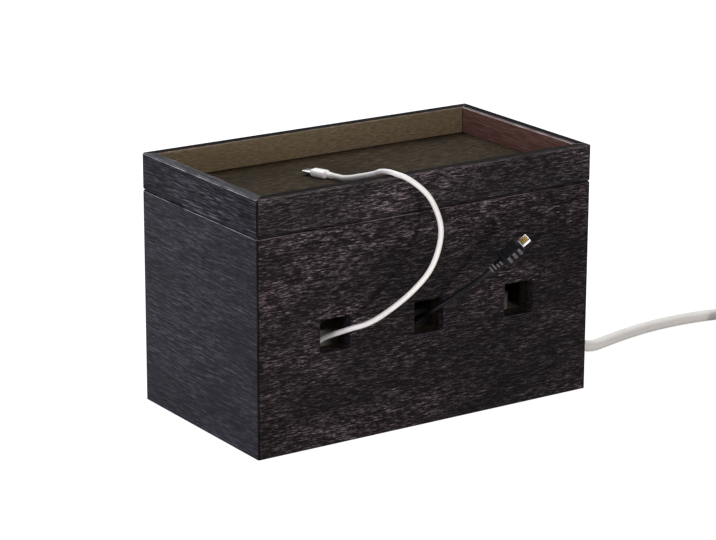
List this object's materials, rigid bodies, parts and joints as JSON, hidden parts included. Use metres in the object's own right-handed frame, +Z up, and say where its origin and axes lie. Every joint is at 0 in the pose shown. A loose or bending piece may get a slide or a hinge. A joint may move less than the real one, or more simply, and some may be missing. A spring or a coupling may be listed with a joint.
{
  "type": "cable management box",
  "caption": "Wooden desk box that hides a power strip and its spare cable; leads leave through square holes in the front, and the lift-off lid is a tray.",
  "frame": {"origin": "centre of the box's footprint, on the surface it stands on", "axes": "+Z up, the front with the cable holes faces -Y, and +X is to the right when the front is looked at"},
  "size_m": [0.4995, 0.207, 0.1708],
  "materials": {
    "stained_bamboo": "dark stained bamboo, satin",
    "inner_bamboo": "dark stained bamboo, matte",
    "strip_plastic": "white, fine texture",
    "charger_plastic": "white gloss",
    "white_plug": "white, satin",
    "black_plastic": "black, satin",
    "rocker_plastic": "translucent red",
    "circuit_board": "green solder mask",
    "tie_band": "black hook-and-loop band",
    "white_lead": "white, satin sleeve",
    "black_lead": "black, satin sleeve",
    "mains_rubber": "white, satin sheath",
    "plated_pins": "nickel plated",
    "steel": "bright pressed steel",
    "brass": "stamped strip"
  },
  "bodies": {
    "box": {"front_panel": "stained_bamboo", "back_panel": "stained_bamboo", "left_panel": "stained_bamboo", "right_panel": "stained_bamboo", "bottom_panel": "inner_bamboo", "front_liner": "inner_bamboo", "back_liner": "inner_bamboo", "left_liner": "inner_bamboo", "right_liner": "inner_bamboo", "strip_base": "strip_plastic", "strip_cover": "strip_plastic", "live_bus": "brass", "neutral_bus": "brass", "earth_bus": "brass", "rocker_frame": "black_plastic", "rocker_pin": "steel", "strip_screws": "steel", "left_charger_case": "charger_plastic", "left_charger_pins": "plated_pins", "left_charger_board": "circuit_board", "left_charger_port": "steel", "right_charger_case": "charger_plastic", "right_charger_pins": "plated_pins", "right_charger_board": "circuit_board", "right_charger_port": "steel", "white_usb_plug": "white_plug", "white_usb_shell": "steel", "white_lead_drop": "white_lead", "white_lead_coil": "white_lead", "white_lead_tie": "tie_band", "white_lead_rise": "white_lead", "white_lead_loop": "white_lead", "black_usb_plug": "black_plastic", "black_usb_shell": "steel", "black_lead_drop": "black_lead", "black_lead_coil": "black_lead", "black_lead_tie": "tie_band", "black_lead_rise": "black_lead", "micro_connector": "black_plastic", "micro_connector_tip": "steel", "mains_gland": "mains_rubber", "mains_lead_run": "mains_rubber", "mains_lead_coil": "mains_rubber", "mains_lead_tie": "tie_band", "mains_lead_tail": "mains_rubber", "mains_plug": "mains_rubber", "mains_plug_pins": "plated_pins"},
    "lid": {"lid_front_rail": "stained_bamboo", "lid_back_rail": "stained_bamboo", "lid_left_rail": "stained_bamboo", "lid_right_rail": "stained_bamboo", "tray_floor": "inner_bamboo", "white_lead_end": "white_lead", "phone_connector": "white_plug", "phone_connector_tip": "steel"},
    "rocker": {"rocker_switch": "rocker_plastic"}
  },
  "joints": [
    {"name": "lid_lift", "type": "slide", "parent": "box", "child": "lid", "axis": [0, 0, 1], "range_m": [0, 0.06], "deforming": ["white_lead_loop"]},
    {"name": "rocker_tip", "type": "hinge", "parent": "box", "child": "rocker", "pos_m": [-0.0935, -0.016, 0.046], "axis": [0, 1, 0], "range_deg": [0, 16]}
  ]
}
